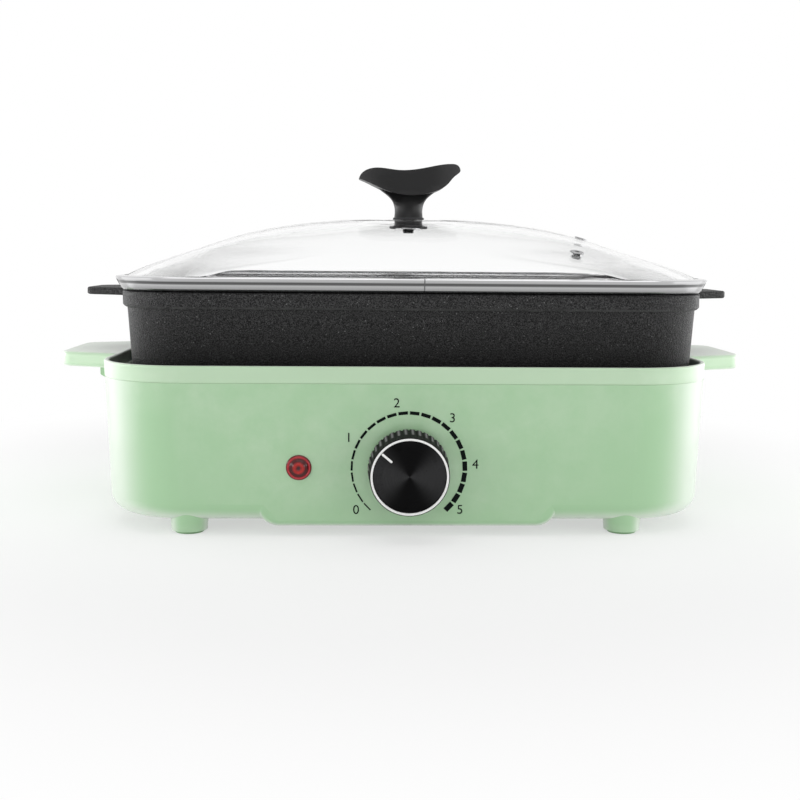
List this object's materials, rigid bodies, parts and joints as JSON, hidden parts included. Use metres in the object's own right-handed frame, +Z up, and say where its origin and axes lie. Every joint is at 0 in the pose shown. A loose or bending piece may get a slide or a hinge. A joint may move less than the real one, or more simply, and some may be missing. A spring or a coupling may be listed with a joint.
{
  "type": "electric hot pot",
  "caption": "Rectangular countertop electric hot pot: mint plastic base with side handles and a dial, deep black pot that lifts out, and a loose glass dome lid with a T-shaped grip.",
  "frame": {"origin": "on the table, under the middle of the bounding box", "axes": "+Z up, +X to the right of someone who faces the dial, -Y towards them"},
  "size_m": [0.445, 0.2891, 0.2223],
  "materials": {
    "mint_plastic": "satin moulded plastic",
    "foot_rubber": "matt",
    "zinc_steel": "zinc plated",
    "bright_sheet": "bright rolled sheet",
    "heater_sheath": "oxidised steel sheath",
    "white_ceramic": "unglazed",
    "brass_contact": "plain",
    "sensor_aluminium": "turned",
    "pot_coating": "speckled black non-stick coating on cast aluminium",
    "clear_glass": "clear tempered",
    "lid_steel": "brushed stainless",
    "black_plastic": "black, fine satin",
    "seal_silicone": "dark silicone",
    "shaft_steel": "turned",
    "dial_black_metal": "black anodised, spun",
    "dial_white": "white",
    "print_black": "printed ink",
    "red_lens": "clear red",
    "fuse_case": "plain",
    "sleeve_clear": "nylon",
    "lead_brown": "silicone insulation",
    "lead_blue": "silicone insulation",
    "lead_green": "silicone insulation"
  },
  "bodies": {
    "base": {"base_shell": "mint_plastic", "rim_frame": "mint_plastic", "bottom_cover": "mint_plastic", "foot_pads": "foot_rubber", "cover_screws": "zinc_steel", "tray_spacers": "zinc_steel", "tray_screws": "zinc_steel", "heater_clips": "zinc_steel", "thermostat_bracket": "zinc_steel", "thermostat_screws": "zinc_steel", "lens_clip": "zinc_steel", "inlet_screws": "zinc_steel", "earth_screw": "zinc_steel", "sensor_spring": "zinc_steel", "fuse_clip": "zinc_steel", "reflector_tray": "bright_sheet", "sensor_guide": "bright_sheet", "heating_element": "heater_sheath", "heater_seals": "white_ceramic", "thermostat_body": "white_ceramic", "pot_rests": "white_ceramic", "heater_pins": "brass_contact", "thermostat_tabs": "brass_contact", "inlet_pins": "brass_contact", "earth_tag": "brass_contact", "indicator_bulb": "clear_glass", "power_inlet": "black_plastic", "lamp_cap": "black_plastic", "dial_ticks": "print_black", "indicator_lens": "red_lens", "thermal_fuse": "fuse_case", "lead_sleeves": "sleeve_clear", "live_lead": "lead_brown", "fuse_lead_front": "lead_brown", "fuse_lead_rear": "lead_brown", "neutral_lead": "lead_blue", "lamp_leads": "lead_blue", "earth_lead": "lead_green"},
    "sensor": {"sensor_cup": "sensor_aluminium", "sensor_clip": "zinc_steel"},
    "pot": {"pot": "pot_coating"},
    "lid": {"lid_glass": "clear_glass", "lid_ring": "lid_steel", "lid_grip": "black_plastic", "grip_insert": "brass_contact", "grip_seal": "seal_silicone", "lower_seal": "seal_silicone", "grip_washer": "lid_steel", "grip_screw": "lid_steel", "steam_vents": "lid_steel"},
    "dial": {"dial_knob": "black_plastic", "dial_shaft": "shaft_steel", "dial_face": "dial_black_metal", "dial_ring": "dial_white", "dial_pointer": "dial_white"}
  },
  "joints": [
    {"name": "pot_lift", "type": "slide", "parent": "base", "child": "pot", "axis": [0, 0, 1], "range_m": [0, 0.08]},
    {"name": "lid_lift", "type": "slide", "parent": "pot", "child": "lid", "axis": [0, 0, 1], "range_m": [0, 0.06]},
    {"name": "dial_turn", "type": "hinge", "parent": "base", "child": "dial", "pos_m": [0, -0.1206, 0.0403], "axis": [0, 0.9994, 0.034], "range_deg": [-83.9, 183.3]},
    {"name": "sensor_press", "type": "slide", "parent": "base", "child": "sensor", "axis": [0, 0, 1], "range_m": [-0.003, 0], "stiffness_N_per_m": 300, "springref_m": 0.004, "deforming": ["sensor_spring"]}
  ]
}
